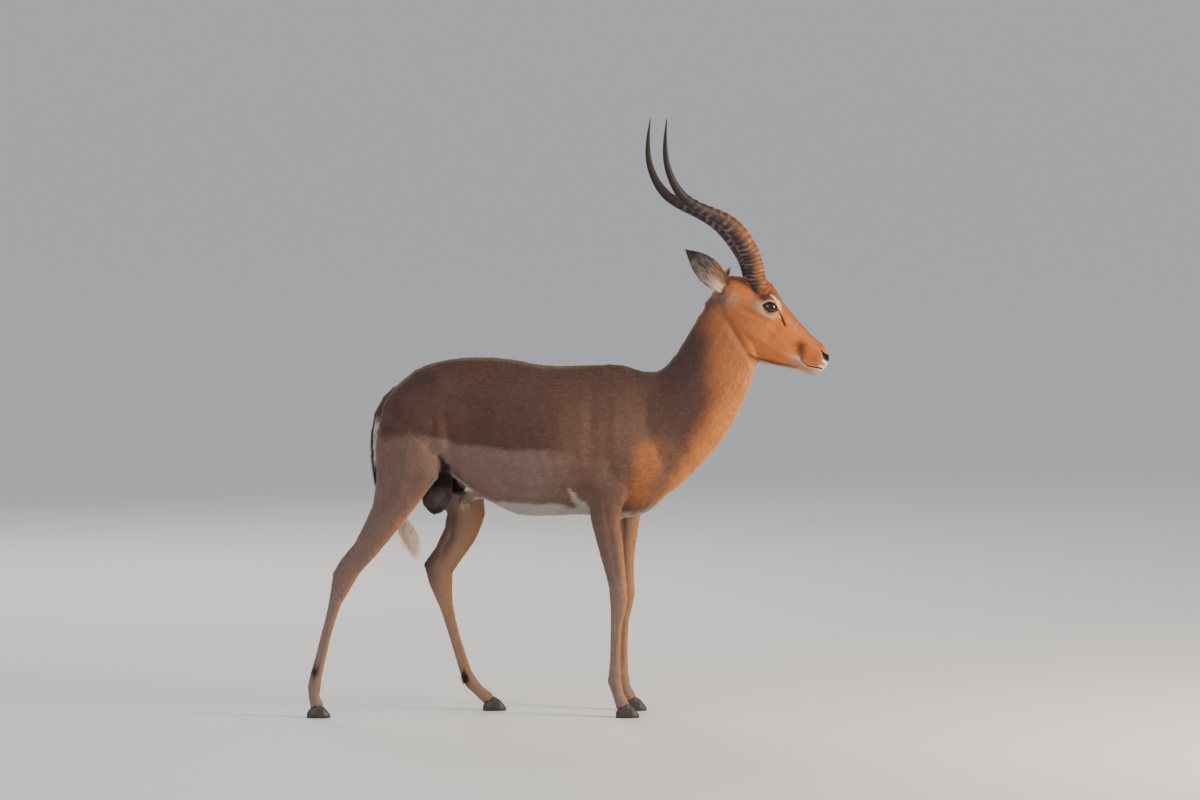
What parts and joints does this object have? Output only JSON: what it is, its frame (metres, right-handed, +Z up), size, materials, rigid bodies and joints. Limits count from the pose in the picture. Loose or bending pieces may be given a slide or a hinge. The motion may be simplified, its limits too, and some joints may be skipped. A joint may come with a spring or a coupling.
{
  "type": "impala antelope",
  "caption": "Life-size museum-type model of a standing impala ram, with ringed lyre-shaped horns, slender legs and a two-toned coat.",
  "frame": {"origin": "on the floor, under the centre of the whole animal's bounding box", "axes": "+X towards the nose, +Y towards the animal's left side, +Z up"},
  "size_m": [1.3316, 0.3748, 1.5295],
  "materials": {
    "coat": "short sleek fur",
    "ear_coat": "thin fur",
    "dark_skin": "thinly haired skin",
    "horn": "ringed horn, smooth at the tip",
    "claw": "dull dark horn",
    "eye": "polished"
  },
  "bodies": {
    "root": {"trunk": "coat", "neck": "coat", "head": "coat", "tail": "coat", "scrotum": "dark_skin", "foreleg_right": "coat", "foreleg_left": "coat", "hindleg_right": "coat", "hindleg_left": "coat", "ear_right": "ear_coat", "ear_left": "ear_coat", "eye_right": "eye", "eye_left": "eye", "horn_right": "horn", "horn_left": "horn", "foreclaw_right_outer": "claw", "foreclaw_right_inner": "claw", "foreclaw_left_outer": "claw", "foreclaw_left_inner": "claw", "hindclaw_right_outer": "claw", "hindclaw_right_inner": "claw", "hindclaw_left_outer": "claw", "hindclaw_left_inner": "claw"}
  },
  "joints": []
}
